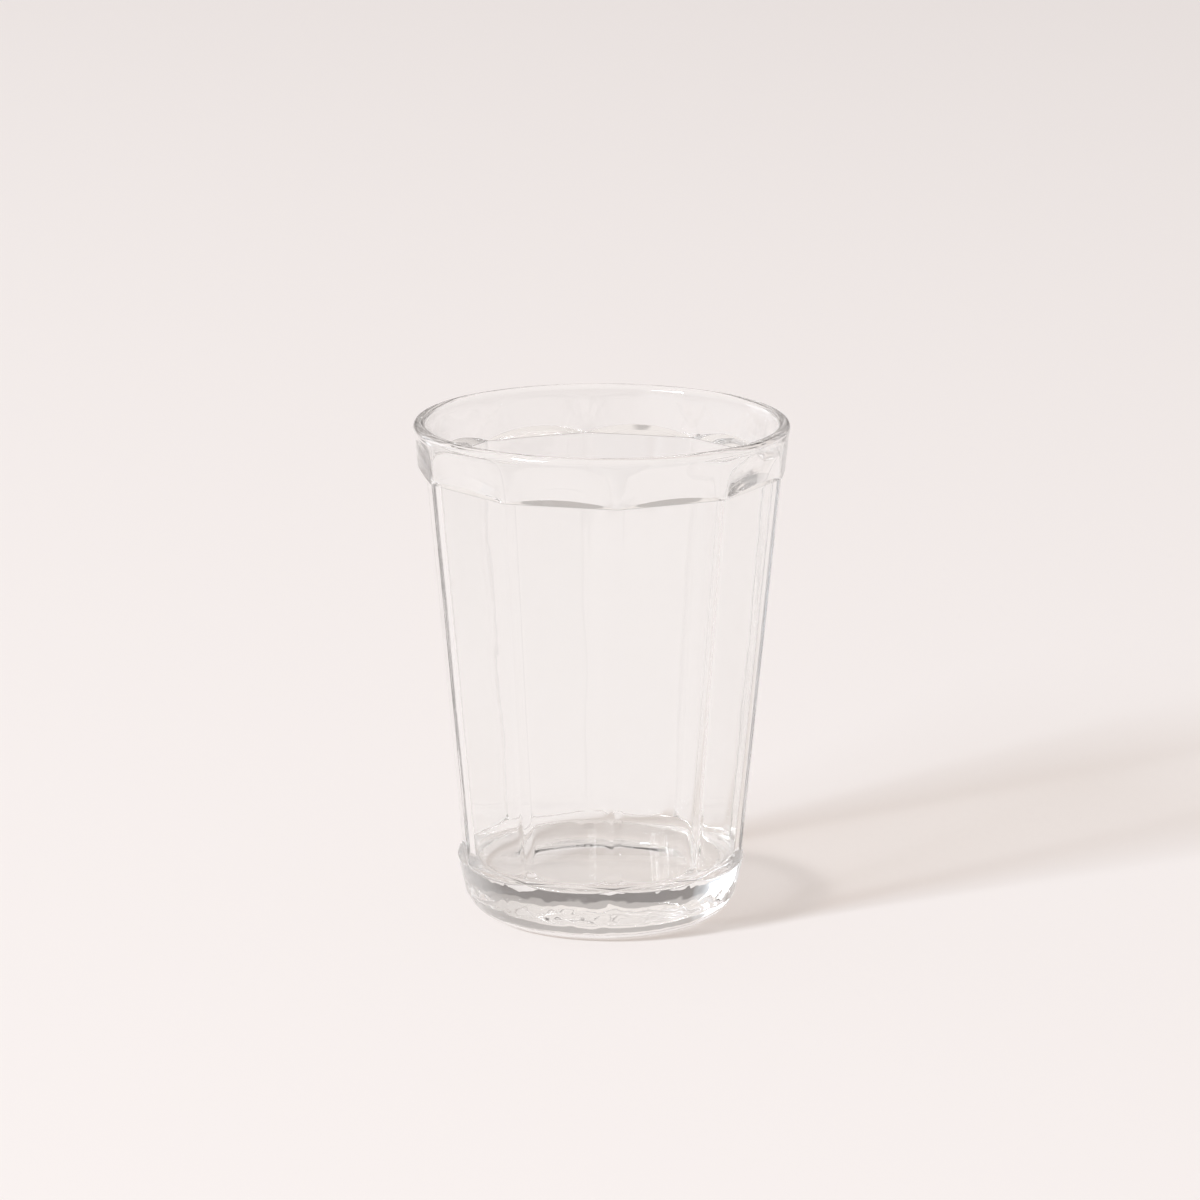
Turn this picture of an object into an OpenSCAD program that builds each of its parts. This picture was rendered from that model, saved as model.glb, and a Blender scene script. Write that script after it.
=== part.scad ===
// Pressed glass juice tumbler with ten flat panels, a plain band under the lip and a round foot.
// One pressed piece: every feature below is cut from, or turned with, the same body.
// Millimetres, +Z up, origin on the table at the centre of the foot, one panel facing +X.

/* [Overall] */
// Height from the table to the top of the lip
glass_h = 94.3; // [80:0.1:120]
// Outer diameter over the lip
rim_d = 70; // [62:0.1:84]
// Diameter at which the outer cone would meet the table
base_d = 52; // [46:0.1:58]

/* [Lip] */
// Radius of the rounded bead at the lip
lip_bead_r = 1.15; // [0.9:0.01:1.3]
// How far the bead stands out of the outer cone
lip_proud = 0.12; // [0:0.01:0.4]

/* [Panels] */
// Number of flat panels round the body
panel_count = 10; // [8:1:14]
// Height of the plain round band from the top of the lip down to the panels
band_h = 9.5; // [8:0.1:20]
// Extra depth of each panel below the cone, so that the ridges lie just under the band
ridge_sink = 0.12; // [0.05:0.01:0.3]
// Angle at which the ledge climbs outwards from a panel to the band, in degrees
ledge_climb = 45; // [25:1:60]
// Height at which the climbing ledge turns level
ledge_rise = 1.6; // [0.6:0.05:1.8]
// Angle at which the foot's top slopes down and outwards from a panel, in degrees
foot_slope = 12; // [2:1:30]

/* [Foot] */
// Height of the solid round foot, from the table to the bottom of the panels
foot_h = 11.3; // [8:0.1:18]
// Radius of the flat underside, where the rounded corner starts
foot_flat_r = 19.4; // [16:0.1:21]
// Radius of the foot's rounded lower corner
foot_corner_r = 6.5; // [3:0.1:7]
// Radius of the shallow hollow under the foot
hollow_r = 17.8; // [10:0.1:18]
// Depth of the shallow hollow under the foot
hollow_depth = 0.8; // [0.2:0.05:1]

/* [Inside] */
// Thickness of the glass behind each panel
wall_t = 1.5; // [1.2:0.1:2.5]
// How far the round that softens the inner corners lies within them
corner_sink = 0.35; // [0.2:0.01:0.6]
// Thickness of the glass between the inner floor and the table
floor_t = 11; // [6:0.1:14]
// Radius of the rounded corner between the inner floor and the walls
floor_corner_r = 3; // [2:0.1:8]
// Height above the panels at which the wall starts to thin towards the lip
flare_gap = 0.6; // [0:0.1:3]

/* [Finish] */
// Segments round the circles
round_segments = 180; // [60:10:360]

/* [Hidden] */
$fn = round_segments;

glass_tint = [0.93, 0.95, 0.94, 0.4];

// Overrun of the cutting shapes past the glass
overrun = 3;

rim_r = rim_d / 2;
base_r = base_d / 2;
panel_step = 360 / panel_count;
flat_share = cos(panel_step / 2);

// The cone that the band, the ridges and the foot's top edge all lie on
lip_z = glass_h - lip_bead_r;
cone_draft = (rim_r - lip_proud - base_r) / lip_z;
function cone_r(z) = base_r + cone_draft * z;

// The middle of a panel, measured from the axis
function panel_r(z) = (cone_r(z) - ridge_sink) * flat_share;
panel_top = glass_h - band_h;

// The inside has a flat wall behind each panel, and a round that cuts off the corners between
// them. Above the panels both flare to the lip, where the flat walls run out into the round
flare_z = panel_top + flare_gap;
function flat_r(z) = panel_r(z) - wall_t;
function round_r(z) = flat_r(z) / flat_share - corner_sink;
bead_x = rim_r - lip_bead_r;
// The flare meets the bead just inside its surface, so that no sliver is left between them
bead_bite = lip_bead_r / 20;
mouth_r = bead_x - lip_bead_r + bead_bite;
// The flat walls bend a little higher than the round, so that no two bends meet in one point
flat_flare_z = flare_z + lip_bead_r / 3;
// How far outside the mouth a flat wall's flare would reach the lip's height
flat_mouth_gap = lip_bead_r / 3;

// Point where a straight line from p touches the circle of centre c and radius r, on its right side
function touch(c, r, p) =
    let (v = p - c, reach = atan2(v[1], v[0]) - acos(r / norm(v)))
    c + r * [cos(reach), sin(reach)];

foot_corner = [foot_flat_r, foot_corner_r];
foot_edge = [cone_r(foot_h), foot_h];
foot_touch = touch(foot_corner, foot_corner_r, foot_edge);

// The floor's corner circle touches both the inner floor and the round
round_draft = atan2(round_r(flare_z) - round_r(floor_t), flare_z - floor_t);
floor_corner_z = floor_t + floor_corner_r;
floor_corner_x = round_r(floor_corner_z) - floor_corner_r / cos(round_draft);
floor_corner = [floor_corner_x, floor_corner_z];
floor_touch = floor_corner + floor_corner_r * [cos(round_draft), -sin(round_draft)];

// The hollow under the foot is a cap of this sphere
hollow_ball_r = (hollow_r * hollow_r + hollow_depth * hollow_depth) / (2 * hollow_depth);

// Half section of the solid outside
module outer_section() {
    polygon([
        [0, 0],
        [foot_flat_r, 0],
        foot_corner,
        foot_touch,
        foot_edge,
        [cone_r(lip_z), lip_z],
        [0, lip_z]
    ]);
    intersection() {
        translate(foot_corner) circle(r = foot_corner_r);
        translate([foot_flat_r, 0]) square([foot_corner_r, foot_corner_r]);
    }
}

// Half section of the round space for the drink, open at the top
module space_section() {
    polygon([
        [0, floor_t],
        [floor_corner_x, floor_t],
        floor_corner,
        floor_touch,
        [round_r(flare_z), flare_z],
        [mouth_r, lip_z],
        [mouth_r, glass_h + overrun],
        [0, glass_h + overrun]
    ]);
    intersection() {
        translate(floor_corner) circle(r = floor_corner_r);
        translate([floor_corner_x, floor_t]) square([floor_corner_r, floor_corner_r]);
    }
}

// Block with the flat wall behind one panel as its inner side
module flat_wall() {
    low_z = floor_t - overrun;
    rotate([90, 0, 0])
    linear_extrude(height = rim_d, center = true)
    polygon([
        [flat_r(low_z), low_z],
        [flat_r(flat_flare_z), flat_flare_z],
        [mouth_r + flat_mouth_gap, lip_z],
        [rim_r + overrun, lip_z],
        [rim_r + overrun, low_z]
    ]);
}

// The space for the drink: the turned round less the ten flat walls
module cavity() {
    difference() {
        rotate_extrude() space_section();
        for (i = [0 : panel_count - 1]) {
            rotate([0, 0, i * panel_step]) flat_wall();
        }
    }
}

// Cutter for one panel: its side view is a face on the panel's draft, a climbing ledge that
// turns level at the top, and the sloping top of the foot below
module panel_cutter() {
    ledge_run = ledge_rise / tan(ledge_climb);
    far_r = rim_r + overrun;
    foot_drop = (far_r - panel_r(foot_h)) * tan(foot_slope);
    rotate([90, 0, 0])
    linear_extrude(height = rim_d, center = true)
    polygon([
        [panel_r(foot_h), foot_h],
        [panel_r(panel_top), panel_top],
        [panel_r(panel_top) + ledge_run, panel_top + ledge_rise],
        [far_r, panel_top + ledge_rise],
        [far_r, foot_h - foot_drop]
    ]);
}

// Ball whose lowest cap hollows the underside
module hollow_ball() {
    translate([0, 0, hollow_depth - hollow_ball_r]) sphere(r = hollow_ball_r);
}

// Rounded bead at the lip
module bead() {
    rotate_extrude() translate([bead_x, lip_z]) circle(r = lip_bead_r);
}

module tumbler() {
    color(glass_tint)
    union() {
        difference() {
            rotate_extrude() outer_section();
            for (i = [0 : panel_count - 1]) {
                rotate([0, 0, i * panel_step]) panel_cutter();
            }
            cavity();
            hollow_ball();
        }
        bead();
    }
}

tumbler();
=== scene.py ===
# Clear pressed juice glass: ten flat panels, a plain band under the lip, a thick round foot.
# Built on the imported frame, in metres, resting on a pale studio floor.
import math
import bpy
import bmesh
from mathutils import Matrix, Vector, noise


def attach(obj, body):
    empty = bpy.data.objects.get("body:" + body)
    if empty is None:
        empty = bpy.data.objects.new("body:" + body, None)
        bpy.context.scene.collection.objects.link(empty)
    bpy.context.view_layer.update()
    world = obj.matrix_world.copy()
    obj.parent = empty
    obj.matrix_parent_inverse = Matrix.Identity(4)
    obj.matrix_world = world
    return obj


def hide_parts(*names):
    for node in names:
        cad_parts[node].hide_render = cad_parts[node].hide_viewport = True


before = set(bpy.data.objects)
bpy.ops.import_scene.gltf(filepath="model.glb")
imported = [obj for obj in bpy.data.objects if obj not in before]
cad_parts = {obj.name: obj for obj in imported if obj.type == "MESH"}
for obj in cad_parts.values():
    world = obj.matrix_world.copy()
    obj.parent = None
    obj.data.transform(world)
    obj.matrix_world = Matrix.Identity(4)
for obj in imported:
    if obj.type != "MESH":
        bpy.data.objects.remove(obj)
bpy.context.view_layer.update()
mm = 0.001
mend, onAxis = 1e-4, 1e-3  # in mm: points closer than this are one, points this near the axis stay on it

# what a user would change in the glass, in mm and degrees
glass = dict(
    height=94.3, rim=35.0, base=26.0,  # overall height, radius over the lip, radius of the cone at the table
    bead=1.15, proud=0.12,  # rounded lip
    panels=10, bandHeight=9.5, sink=0.12,  # flat panels and the plain band above them
    ledgeRise=1.6, ledgeClimb=39.9, footSlope=12.0,  # ledge over each panel, sloping top of the foot
    foot=11.3, footFlat=19.4, footCorner=6.5,  # solid foot and its round lower corner
    hollow=17.8, hollowDepth=0.8,  # shallow hollow underneath
    wall=1.5, cornerSink=0.35, floor=11.0, floorCorner=3.0, flareGap=0.6,  # inside: ten flat walls in a round
    ridgeRound=0.6, ridgeAt=45.0,  # softness of the ridges, and the height at which it is measured
    cornerRound=6.5, creaseRound=0.8,  # softness of the inner corners and of the crease at their foot
    edgeRound=0.18, footRound=0.45, innerRound=0.7,  # softness of the ledge, foot's edge and panel's foot
    bandBlend=2.2, beadBlend=1.3,  # where the band's straight part starts and ends
    mouthRound=9.0, mouthDrop=0.3,  # soft bend inside, from the wall to the mouth
    wallReach=25.4, creaseReach=4.0,  # stretches of inner wall that the bend and the crease follow
    leastRise=0.02, leastStep=0.01,  # what is left of a ledge at a ridge
    wave=0.03, waveSize=13.0, waveStretch=1.6, waveSeed=(3.1, 7.7, 1.3),  # slight unevenness of pressed glass
    waveFoot=(2.0, 4.0), waveLip=(3.0, 5.0),  # at each end: still over the first, then growing over the second
)
# faces along the stretches of the half section, and round it
cuts = dict(
    hollow=14, ring=3, footCorner=16, footSide=4, footEdge=6, footTop=2, inner=5,
    panel=32, panelEnd=0.004, ledgeEdge=4, ledge=2, knee=3, band=4,
    bead=22, beadFrom=-14, beadTo=190, neck=5, flare=7, flareEdge=6,
    wall=30, crease=4, floorCorner=14, cornerStep=0.002, cornerEnd=-1.5, floor=16,
    columns=28, crowd=0.42,  # columns in each panel, and how far they crowd to the ridges
)


def profileSizes(g):
    s = dict(g)
    s["lipZ"] = g["height"] - g["bead"]
    s["draft"] = (g["rim"] - g["proud"] - g["base"]) / s["lipZ"]
    s["half"] = math.pi / g["panels"]
    s["top"] = g["height"] - g["bandHeight"]
    s["flareZ"] = s["top"] + g["flareGap"]
    return s


def coneAt(s, z):
    return s["base"] + s["draft"] * z


def panelAt(s, z):
    return (coneAt(s, z) - s["sink"]) * math.cos(s["half"])


def innerAt(s, z, face):
    # the inner wall; face is 1 in the middle of a flat wall and less towards its corners
    return (panelAt(s, z) - s["wall"]) / face


def ringAt(s, z):
    # the round that cuts off the inner corners
    return innerAt(s, z, math.cos(s["half"])) - s["cornerSink"]


def arc(cx, cz, r, a0, a1, n):
    turns = [math.radians(a0 + (a1 - a0) * i / n) for i in range(n + 1)]
    return [(cx + r * math.cos(a), cz + r * math.sin(a)) for a in turns]


def touchPoint(cx, cz, r, px, pz):
    # where a line from p touches the circle on its outer side
    a = math.atan2(pz - cz, px - cx) - math.acos(r / math.hypot(px - cx, pz - cz))
    return cx + r * math.cos(a), cz + r * math.sin(a), math.degrees(a)


def line(a, b, n):
    return [(a[0] + (b[0] - a[0]) * i / n, a[1] + (b[1] - a[1]) * i / n) for i in range(1, n + 1)]


def flatLine(a, b, n, end=0.05):
    # a flat between two soft edges, its first and last piece short so that the smooth shading leaves it flat
    shares = [end + (1 - 2 * end) * i / n for i in range(n + 1)] + [1.0]
    return [(a[0] + (b[0] - a[0]) * t, a[1] + (b[1] - a[1]) * t) for t in shares]


def softCorner(p, q, r, radius, n, most=0.45):
    # a pressed edge: the corner q between p and r, rounded over at most a share of each side
    d0, d1 = Vector(p) - Vector(q), Vector(r) - Vector(q)
    bend = math.pi - d0.angle(d1)
    reach = min(radius * math.tan(bend / 2), most * d0.length, most * d1.length)
    a = Vector(q) + d0.normalized() * reach
    b = Vector(q) + d1.normalized() * reach
    out = []
    for i in range(n + 1):
        u = i / n
        out.append(tuple(a * (1 - u) ** 2 + Vector(q) * (2 * u * (1 - u)) + b * u ** 2))
    return out


def outerFeatures(s, face):
    # the pressed part of the side at one column, from the foot's edge to the band
    # face is the distance from the axis to a panel's flat over that to the glass, at this column
    slope = math.tan(math.radians(s["footSlope"]))
    low, high = panelAt(s, s["foot"]), panelAt(s, s["top"])
    z0 = s["foot"]
    for _ in range(6):  # the sloping top meets the cone; a few turns settle the height
        z0 = s["foot"] - (coneAt(s, z0) * face - low) * slope
    edge = (coneAt(s, z0), z0)
    inner = (low / face, s["foot"])
    top = (high / face, s["top"])
    run = 1 / math.tan(math.radians(s["ledgeClimb"]))
    reached = (coneAt(s, s["top"]) * face - high) / (run - s["draft"] * face)
    rise = min(s["ledgeRise"], max(s["leastRise"], reached))
    knee = ((high + rise * run) / face, s["top"] + rise)
    lip = (max(coneAt(s, knee[1]), knee[0] + s["leastStep"]), knee[1])
    band = (coneAt(s, s["flareZ"] + s["bandBlend"]), s["flareZ"] + s["bandBlend"])
    return edge, inner, top, knee, lip, band


def sideProfile(s, face):
    edge, inner, top, knee, lip, band = outerFeatures(s, face)
    fx, fz = s["footFlat"], s["footCorner"]
    tx, tz, ta = touchPoint(fx, fz, s["footCorner"], *edge)
    pts = arc(fx, fz, s["footCorner"], -90, ta, cuts["footCorner"])
    foot = softCorner((tx, tz), edge, inner, s["footRound"], cuts["footEdge"])
    pts += line(pts[-1], foot[0], cuts["footSide"]) + foot[1:]
    corner = softCorner(foot[-1], inner, top, s["innerRound"], cuts["inner"])
    pts += flatLine(foot[-1], corner[0], cuts["footTop"]) + corner[1:]
    under = softCorner(inner, top, knee, s["edgeRound"], cuts["ledgeEdge"])
    pts += flatLine(corner[-1], under[0], cuts["panel"], cuts["panelEnd"]) + under[1:]
    bend = softCorner(top, knee, lip, s["edgeRound"], cuts["knee"])
    pts += flatLine(under[-1], bend[0], cuts["ledge"]) + bend[1:]
    over = softCorner(knee, lip, band, s["edgeRound"], cuts["ledgeEdge"])
    pts += flatLine(bend[-1], over[0], cuts["ledge"]) + over[1:]
    pts += line(over[-1], band, cuts["band"])
    return pts


def halfSection(s, face, inFace):
    # the whole half section at one column: underneath, side, lip, inside
    ball = (s["hollow"] ** 2 + s["hollowDepth"] ** 2) / (2 * s["hollowDepth"])
    pts = []
    for i in range(cuts["hollow"] + 1):
        x = s["hollow"] * i / cuts["hollow"]
        pts.append((x, s["hollowDepth"] - ball + math.sqrt(ball ** 2 - x ** 2)))
    pts += line((s["hollow"], 0), (s["footFlat"], 0), cuts["ring"])[:-1]
    pts += sideProfile(s, face)
    bx, bz = s["rim"] - s["bead"], s["lipZ"]
    neck = bz - s["beadBlend"]
    pts += line(pts[-1], (coneAt(s, neck), neck), cuts["neck"])
    pts += arc(bx, bz, s["bead"], cuts["beadFrom"], cuts["beadTo"], cuts["bead"])
    mouth = (bx - s["bead"], bz - s["mouthDrop"])
    flare = (innerAt(s, s["flareZ"], inFace), s["flareZ"])
    # a height well down the wall gives the wall's own direction
    below = s["flareZ"] - s["wallReach"]
    soft = softCorner(mouth, flare, (innerAt(s, below, inFace), below), s["mouthRound"], cuts["flareEdge"])
    pts += line(pts[-1], soft[0], cuts["flare"]) + soft[1:]
    # the corner circle at the floor is turned; a flat wall cuts it short
    r, cz = s["floorCorner"], s["floor"] + s["floorCorner"]
    rise = ringAt(s, s["flareZ"]) - ringAt(s, s["floor"])
    lean = math.atan2(rise, s["flareZ"] - s["floor"])
    cx = ringAt(s, cz) - r / math.cos(lean)
    a0 = -lean
    while a0 > cuts["cornerEnd"] and cx + r * math.cos(a0) > innerAt(s, cz + r * math.sin(a0), inFace):
        a0 -= cuts["cornerStep"]
    corner = arc(cx, cz, r, math.degrees(a0), -90, cuts["floorCorner"])
    skip = cuts["crease"]  # points of the circle that the soft crease takes over
    start = (innerAt(s, cz + s["creaseReach"], inFace), cz + s["creaseReach"])
    foot = softCorner(start, corner[0], corner[skip], s["creaseRound"], cuts["crease"])
    pts += line(pts[-1], foot[0], cuts["wall"]) + foot[1:] + corner[skip + 1:]
    pts += line((cx, s["floor"]), (0, s["floor"]), cuts["floor"])
    return pts


def ridgeFactor(s, offset, radius):
    # distance to a panel's flat over that to the glass, at an angle from the panel's middle, ridges rounded
    r = radius / panelAt(s, s["ridgeAt"])
    centre = (1 - r) / math.cos(s["half"])
    a = s["half"] - abs(offset)
    if centre * math.sin(a) >= r * math.sin(s["half"]):
        return math.cos(offset)
    return 1 / (centre * math.cos(a) + math.sqrt(r * r - (centre * math.sin(a)) ** 2))


def buildGlass(s):
    first = halfSection(s, 1.0, 1.0)
    bm = bmesh.new()
    row = bm.verts.layers.int.new("row")
    last = None
    for i, (x, z) in enumerate(first):
        v = bm.verts.new((x, 0, z))
        v[row] = i
        if last:
            bm.edges.new((last, v))
        last = v
    steps = s["panels"] * cuts["columns"]
    bmesh.ops.spin(bm, geom=bm.verts[:] + bm.edges[:], cent=(0, 0, 0), axis=(0, 0, 1), dvec=(0, 0, 0),
                   angle=math.tau, steps=steps, use_merge=True)
    bmesh.ops.remove_doubles(bm, verts=bm.verts[:], dist=mend)

    # press the panels: each column of the turned blank takes its own half section
    sections = {}
    for v in bm.verts:
        x, y = v.co.x, v.co.y
        if math.hypot(x, y) < onAxis:
            continue
        column = round(math.atan2(y, x) / math.tau * steps) % steps
        if column not in sections:
            nearest = round(column / cuts["columns"])
            u = (column / cuts["columns"] - nearest) * 2
            u += cuts["crowd"] * (u - u ** 3)
            offset = u * s["half"]
            outer = ridgeFactor(s, offset, s["ridgeRound"])
            inner = ridgeFactor(s, offset, s["cornerRound"])
            sections[column] = (nearest * 2 * s["half"] + offset, halfSection(s, outer, inner))
        angle, points = sections[column]
        x, z = points[v[row]]
        v.co = (x * math.cos(angle), x * math.sin(angle), z)
    return bm


def fade(distance, over):
    return min(1.0, max(0.0, distance / over))


def addWaves(bm, s):
    bm.normal_update()
    stretch = s["waveStretch"]
    still, full = s["waveFoot"]
    lipStill, lipFull = s["waveLip"]
    moves = []
    for v in bm.verts:
        p = v.co / s["waveSize"]
        n = noise.noise(Vector((p.x * stretch, p.y * stretch, p.z)) + Vector(s["waveSeed"]))
        keep = fade(v.co.z - still, full) * fade(s["height"] - lipStill - v.co.z, lipFull)
        moves.append(v.normal * (n * s["wave"] * keep))
    for v, m in zip(bm.verts, moves):
        v.co += m


sizes = profileSizes(glass)
bm = buildGlass(sizes)
addWaves(bm, sizes)
bmesh.ops.scale(bm, vec=(mm, mm, mm), verts=bm.verts[:])
bmesh.ops.recalc_face_normals(bm, faces=bm.faces[:])
for f in bm.faces:
    f.smooth = True
mesh = bpy.data.meshes.new("tumblerGlass")
bm.to_mesh(mesh)
print("glass:", len(mesh.polygons), "faces, open edges", sum(1 for e in bm.edges if not e.is_manifold))
bm.free()
tumbler = bpy.data.objects.new("tumbler_glass", mesh)
bpy.context.scene.collection.objects.link(tumbler)
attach(tumbler, "root")
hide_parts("tumbler")

# what a user would change in the clear glass, in metres
clear = dict(
    tint=(0.988, 0.992, 0.99, 1), ior=1.52, roughness=0.0,
    ripple=0.02, footRipple=0.35, rippleScale=260.0, rippleDetail=1.0, rippleDepth=0.0005,  # fine unevenness
    shade=((0.0, (0.948, 0.94, 0.93, 1)), (0.5, (0.935, 0.92, 0.905, 1)), (0.8, (0.70, 0.645, 0.59, 1)),
           (1.0, (0.22, 0.18, 0.15, 1))),  # what a lamp's light keeps, from face on to grazing
    graze=0.5, footShade=0.77, footTop=0.0125, footEdge=0.020, footBlend=0.002,  # and in the side of the foot
    floorLight=(0.99, 0.985, 0.98, 1),  # what the floor's own light keeps
    underLight=(1.0, 0.99, 0.985, 1),  # what the floor inside and the underside keep
)


def makeClearGlass():
    m = bpy.data.materials.new("clearGlass")
    m.use_nodes = True
    nt = m.node_tree
    b = nt.nodes["Principled BSDF"]
    b.inputs["Base Color"].default_value = clear["tint"]
    b.inputs["Transmission Weight"].default_value = 1.0
    b.inputs["IOR"].default_value = clear["ior"]
    b.inputs["Roughness"].default_value = clear["roughness"]
    where = nt.nodes.new("ShaderNodeTexCoord")
    ripple = nt.nodes.new("ShaderNodeTexNoise")
    ripple.inputs["Scale"].default_value = clear["rippleScale"]
    ripple.inputs["Detail"].default_value = clear["rippleDetail"]
    bump = nt.nodes.new("ShaderNodeBump")
    bump.inputs["Distance"].default_value = clear["rippleDepth"]
    nt.links.new(where.outputs["Object"], ripple.inputs["Vector"])
    nt.links.new(ripple.outputs["Fac"], bump.inputs["Height"])
    unevenness = nt.nodes.new("ShaderNodeMapRange")
    unevenness.inputs["To Min"].default_value = clear["ripple"]
    unevenness.inputs["To Max"].default_value = clear["footRipple"]
    nt.links.new(unevenness.outputs["Result"], bump.inputs["Strength"])
    nt.links.new(bump.outputs["Normal"], b.inputs["Normal"])
    # lamps and the floor's own light pass straight through, less where they graze the glass
    ray = nt.nodes.new("ShaderNodeLightPath")
    graze = nt.nodes.new("ShaderNodeLayerWeight")
    graze.inputs["Blend"].default_value = clear["graze"]
    veil = nt.nodes.new("ShaderNodeValToRGB")
    for at, colour in clear["shade"][1:-1]:
        veil.color_ramp.elements.new(at)
    for el, (at, colour) in zip(veil.color_ramp.elements, clear["shade"]):
        el.position, el.color = at, colour
    height = nt.nodes.new("ShaderNodeSeparateXYZ")
    low = nt.nodes.new("ShaderNodeMapRange")
    low.interpolation_type = "SMOOTHSTEP"
    low.inputs["From Min"].default_value = clear["footTop"]
    low.inputs["From Max"].default_value = clear["footTop"] - clear["footBlend"]
    flat = nt.nodes.new("ShaderNodeVectorMath")
    flat.operation = "MULTIPLY"
    flat.inputs[1].default_value = (1, 1, 0)
    radius = nt.nodes.new("ShaderNodeVectorMath")
    radius.operation = "LENGTH"
    side = nt.nodes.new("ShaderNodeMapRange")
    side.interpolation_type = "SMOOTHSTEP"
    side.inputs["From Min"].default_value = clear["footEdge"]
    side.inputs["From Max"].default_value = clear["footEdge"] + clear["footBlend"]
    thick = nt.nodes.new("ShaderNodeMath")
    thick.operation = "MULTIPLY"
    keep = nt.nodes.new("ShaderNodeMapRange")
    keep.inputs["To Min"].default_value = 1.0
    keep.inputs["To Max"].default_value = clear["footShade"]
    veilLow = nt.nodes.new("ShaderNodeVectorMath")
    veilLow.operation = "SCALE"
    # the foot's own floor and underside gather as much light as they hold back
    within = nt.nodes.new("ShaderNodeMath")
    within.operation = "SUBTRACT"
    inside = nt.nodes.new("ShaderNodeMix")
    inside.data_type = "RGBA"
    inside.inputs[7].default_value = clear["underLight"]  # 6 and 7 are the Mix node's colours, 2 its result
    nt.links.new(where.outputs["Object"], height.inputs["Vector"])
    nt.links.new(height.outputs["Z"], low.inputs["Value"])
    nt.links.new(thick.outputs["Value"], unevenness.inputs["Value"])
    nt.links.new(where.outputs["Object"], flat.inputs[0])
    nt.links.new(flat.outputs["Vector"], radius.inputs[0])
    nt.links.new(radius.outputs["Value"], side.inputs["Value"])
    nt.links.new(low.outputs["Result"], thick.inputs[0])
    nt.links.new(side.outputs["Result"], thick.inputs[1])
    nt.links.new(thick.outputs["Value"], keep.inputs["Value"])
    nt.links.new(graze.outputs["Facing"], veil.inputs["Fac"])
    nt.links.new(veil.outputs["Color"], veilLow.inputs[0])
    nt.links.new(keep.outputs["Result"], veilLow.inputs["Scale"])
    nt.links.new(low.outputs["Result"], within.inputs[0])
    nt.links.new(thick.outputs["Value"], within.inputs[1])
    nt.links.new(within.outputs["Value"], inside.inputs["Factor"])
    nt.links.new(veilLow.outputs["Vector"], inside.inputs[6])
    lampPass = nt.nodes.new("ShaderNodeBsdfTransparent")
    floorPass = nt.nodes.new("ShaderNodeBsdfTransparent")
    floorPass.inputs["Color"].default_value = clear["floorLight"]
    lampMix = nt.nodes.new("ShaderNodeMixShader")
    floorMix = nt.nodes.new("ShaderNodeMixShader")
    nt.links.new(inside.outputs[2], lampPass.inputs["Color"])
    nt.links.new(ray.outputs["Is Shadow Ray"], lampMix.inputs["Fac"])
    nt.links.new(b.outputs["BSDF"], lampMix.inputs[1])
    nt.links.new(lampPass.outputs["BSDF"], lampMix.inputs[2])
    nt.links.new(ray.outputs["Is Diffuse Ray"], floorMix.inputs["Fac"])
    nt.links.new(lampMix.outputs["Shader"], floorMix.inputs[1])
    nt.links.new(floorPass.outputs["BSDF"], floorMix.inputs[2])
    nt.links.new(floorMix.outputs["Shader"], nt.nodes["Material Output"].inputs["Surface"])
    return m


tumbler.data.materials.append(makeClearGlass())
print("clear glass: on the tumbler")

# pale paper on which the glass stands, a hair lower so that the two faces don't meet
stage = dict(colour=(0.90, 0.86, 0.845, 1), roughness=0.9, shine=0.1, reach=1.7, drop=0.00004, segments=96)


def makeFloor():
    bm = bmesh.new()
    bmesh.ops.create_circle(bm, cap_ends=True, radius=stage["reach"], segments=stage["segments"])
    for v in bm.verts:
        v.co.z = -stage["drop"]
    me = bpy.data.meshes.new("studioFloor")
    bm.to_mesh(me)
    bm.free()
    ob = bpy.data.objects.new("studio_floor", me)
    bpy.context.scene.collection.objects.link(ob)
    m = bpy.data.materials.new("palePaper")
    m.use_nodes = True
    b = m.node_tree.nodes["Principled BSDF"]
    b.inputs["Base Color"].default_value = stage["colour"]
    b.inputs["Roughness"].default_value = stage["roughness"]
    b.inputs["Specular IOR Level"].default_value = stage["shine"]
    me.materials.append(m)


makeFloor()
print("floor: laid")

# The room as the glass sees it: past the paper's edge a dark strip, bright at the window on the left,
# and over it a pale wall that gets darker to the right.
room = dict(
    strip=((-1.0, (0.92, 0.955, 1.0, 1)), (-0.58, (0.92, 0.955, 1.0, 1)), (-0.44, (0.25, 0.228, 0.22, 1)),
           (0.62, (0.25, 0.228, 0.22, 1)), (0.82, (0.46, 0.44, 0.43, 1)), (1.0, (0.50, 0.48, 0.47, 1))),
    stripTop=17.5, blend=1.5,  # top of the strip and its soft edge, in degrees
    rise=0.35, riseFrom=0.3,  # how the strip climbs to the right, and from where
    haze=0.4, hazeFrom=7.0, hazeTo=10.0,  # the strip's paler upper part, in degrees
    onFloor=0.59,  # share of the room's light that falls on the floor; the lamps give the rest
    wall=(0.86, 0.80, 0.765, 1), wallLeft=1.03, wallTurn=0.2, wallRight=0.66,
)
# three soft lamps on the left: place, size, power and colour of each, all turned to the glass
lamps = dict(
    key_light=dict(place=(-6.25, -3.78, 3.8), size=(1.4, 0.8), power=475.0, colour=(0.955, 0.975, 1.0)),
    fill_light=dict(place=(-5.6, -4.45, 3.6), size=(3.0, 1.0), power=330.0, colour=(0.955, 0.975, 1.0)),
    window_light=dict(place=(-4.4, 3.8, 1.1), size=(3.0, 2.0), power=24.0, colour=(0.90, 0.94, 1.0)),
)
lampAim = (0, 0, 0.04)
bounces = 43  # light is led through the thick foot by many inner reflections


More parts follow.
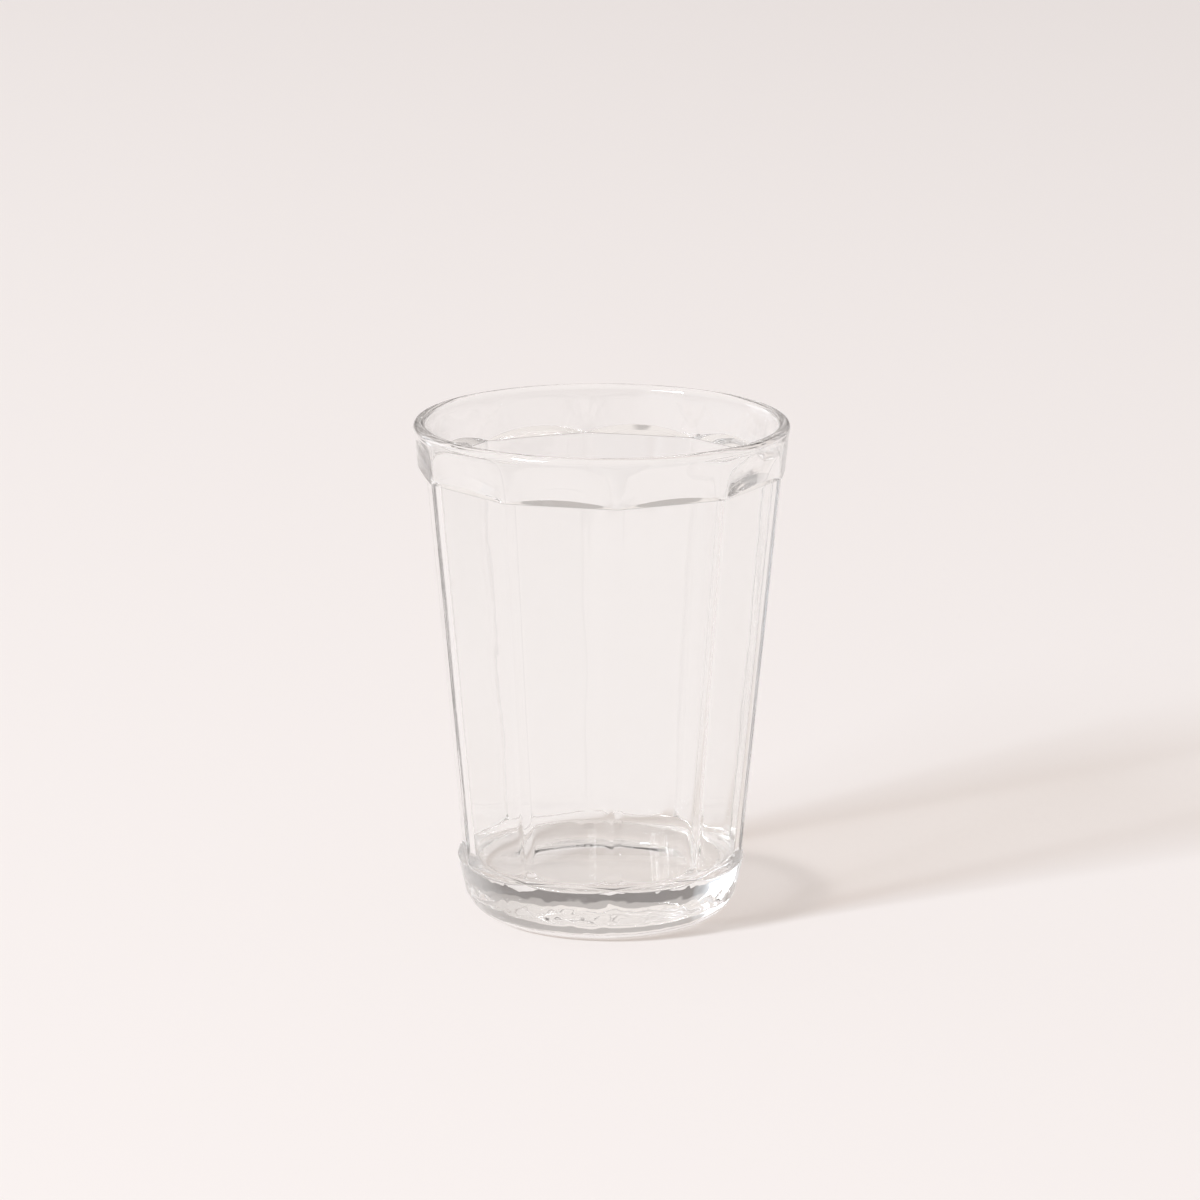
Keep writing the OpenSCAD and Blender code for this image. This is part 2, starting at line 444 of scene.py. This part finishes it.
def makeRoom():
    w = bpy.data.worlds.new("paleRoom")
    bpy.context.scene.world = w
    w.use_nodes = True
    nt = w.node_tree
    where = nt.nodes.new("ShaderNodeTexCoord")
    split = nt.nodes.new("ShaderNodeSeparateXYZ")
    nt.links.new(where.outputs["Generated"], split.inputs["Vector"])

    across = nt.nodes.new("ShaderNodeMapRange")  # -1 at the left to 1 at the right, as 0 to 1
    across.inputs["From Min"].default_value = -1.0
    strip = nt.nodes.new("ShaderNodeValToRGB")
    for at, colour in room["strip"][1:-1]:
        strip.color_ramp.elements.new((at + 1) / 2)
    for el, (at, colour) in zip(strip.color_ramp.elements, room["strip"]):
        el.position, el.color = (at + 1) / 2, colour
    nt.links.new(split.outputs["X"], across.inputs["Value"])
    nt.links.new(across.outputs["Result"], strip.inputs["Fac"])

    side = nt.nodes.new("ShaderNodeMapRange")
    side.inputs["From Min"].default_value = room["wallTurn"]
    side.inputs["To Min"].default_value = room["wallLeft"]
    side.inputs["To Max"].default_value = room["wallRight"]
    wall = nt.nodes.new("ShaderNodeVectorMath")
    wall.operation = "SCALE"
    wall.inputs[0].default_value = room["wall"][:3]
    nt.links.new(split.outputs["X"], side.inputs["Value"])
    nt.links.new(side.outputs["Result"], wall.inputs["Scale"])

    right = nt.nodes.new("ShaderNodeMath")
    right.operation = "MAXIMUM"
    right.inputs[1].default_value = room["riseFrom"]
    top = nt.nodes.new("ShaderNodeMath")
    top.operation = "MULTIPLY_ADD"
    top.inputs[1].default_value = -room["rise"]
    edge = nt.nodes.new("ShaderNodeMapRange")
    edge.interpolation_type = "SMOOTHSTEP"
    started = room["rise"] * room["riseFrom"]
    edge.inputs["From Min"].default_value = math.sin(math.radians(room["stripTop"])) - started
    edge.inputs["From Max"].default_value = math.sin(math.radians(room["stripTop"] + room["blend"])) - started
    nt.links.new(split.outputs["X"], right.inputs[0])
    nt.links.new(right.outputs["Value"], top.inputs[0])
    nt.links.new(split.outputs["Z"], top.inputs[2])
    nt.links.new(top.outputs["Value"], edge.inputs["Value"])

    mix = nt.nodes.new("ShaderNodeMix")
    mix.data_type = "RGBA"
    haze = nt.nodes.new("ShaderNodeMapRange")
    haze.interpolation_type = "SMOOTHSTEP"
    haze.inputs["From Min"].default_value = math.sin(math.radians(room["hazeFrom"]))
    haze.inputs["From Max"].default_value = math.sin(math.radians(room["hazeTo"]))
    haze.inputs["To Max"].default_value = room["haze"]
    lighter = nt.nodes.new("ShaderNodeMath")
    lighter.operation = "MAXIMUM"
    nt.links.new(split.outputs["Z"], haze.inputs["Value"])
    nt.links.new(haze.outputs["Result"], lighter.inputs[0])
    nt.links.new(edge.outputs["Result"], lighter.inputs[1])
    nt.links.new(lighter.outputs["Value"], mix.inputs["Factor"])
    nt.links.new(strip.outputs["Color"], mix.inputs[6])
    nt.links.new(wall.outputs["Vector"], mix.inputs[7])
    ray = nt.nodes.new("ShaderNodeLightPath")
    level = nt.nodes.new("ShaderNodeMapRange")
    level.inputs["To Min"].default_value = 1.0
    level.inputs["To Max"].default_value = room["onFloor"]
    nt.links.new(ray.outputs["Is Diffuse Ray"], level.inputs["Value"])
    nt.links.new(level.outputs["Result"], nt.nodes["Background"].inputs["Strength"])
    nt.links.new(mix.outputs[2], nt.nodes["Background"].inputs["Color"])


def makeLamp(name, lamp):
    data = bpy.data.lights.new(name, "AREA")
    data.shape = "RECTANGLE"
    data.size, data.size_y = lamp["size"]
    data.energy = lamp["power"]
    data.color = lamp["colour"]
    ob = bpy.data.objects.new(name, data)
    at = Vector(lamp["place"])
    turn = (Vector(lampAim) - at).to_track_quat("-Z", "Y").to_matrix().to_4x4()
    ob.matrix_world = Matrix.Translation(at) @ turn
    bpy.context.scene.collection.objects.link(ob)


makeRoom()
for name, lamp in lamps.items():
    makeLamp(name, lamp)
print("light: room and", len(lamps), "lamps")

# camera at the photograph's angle, in metres, millimetres of lens and degrees of roll
view = dict(at=(-0.0880, -0.9961, 0.3037), look=(0, 0, 0.0599), across=-0.000257, roll=0.13,
            lens=165.2, sensor=36, near=0.01, far=60)


def makeCamera():
    data = bpy.data.cameras.new("photoView")
    data.sensor_width = view["sensor"]
    data.lens = view["lens"]
    data.clip_start, data.clip_end = view["near"], view["far"]
    at, look = Vector(view["at"]), Vector(view["look"])
    turn = (look - at).to_track_quat("-Z", "Y").to_matrix()
    look = look + turn @ Vector((1, 0, 0)) * view["across"]
    turn = (look - at).to_track_quat("-Z", "Y").to_matrix().to_4x4()
    cam = bpy.data.objects.new("photo_camera", data)
    cam.matrix_world = Matrix.Translation(at) @ turn @ Matrix.Rotation(math.radians(view["roll"]), 4, "Z")
    bpy.context.scene.collection.objects.link(cam)
    bpy.context.scene.camera = cam


makeCamera()
print("camera: set")
bpy.context.scene.view_settings.view_transform = "Standard"
paths = bpy.context.scene.cycles
paths.max_bounces = paths.transmission_bounces = paths.glossy_bounces = bounces
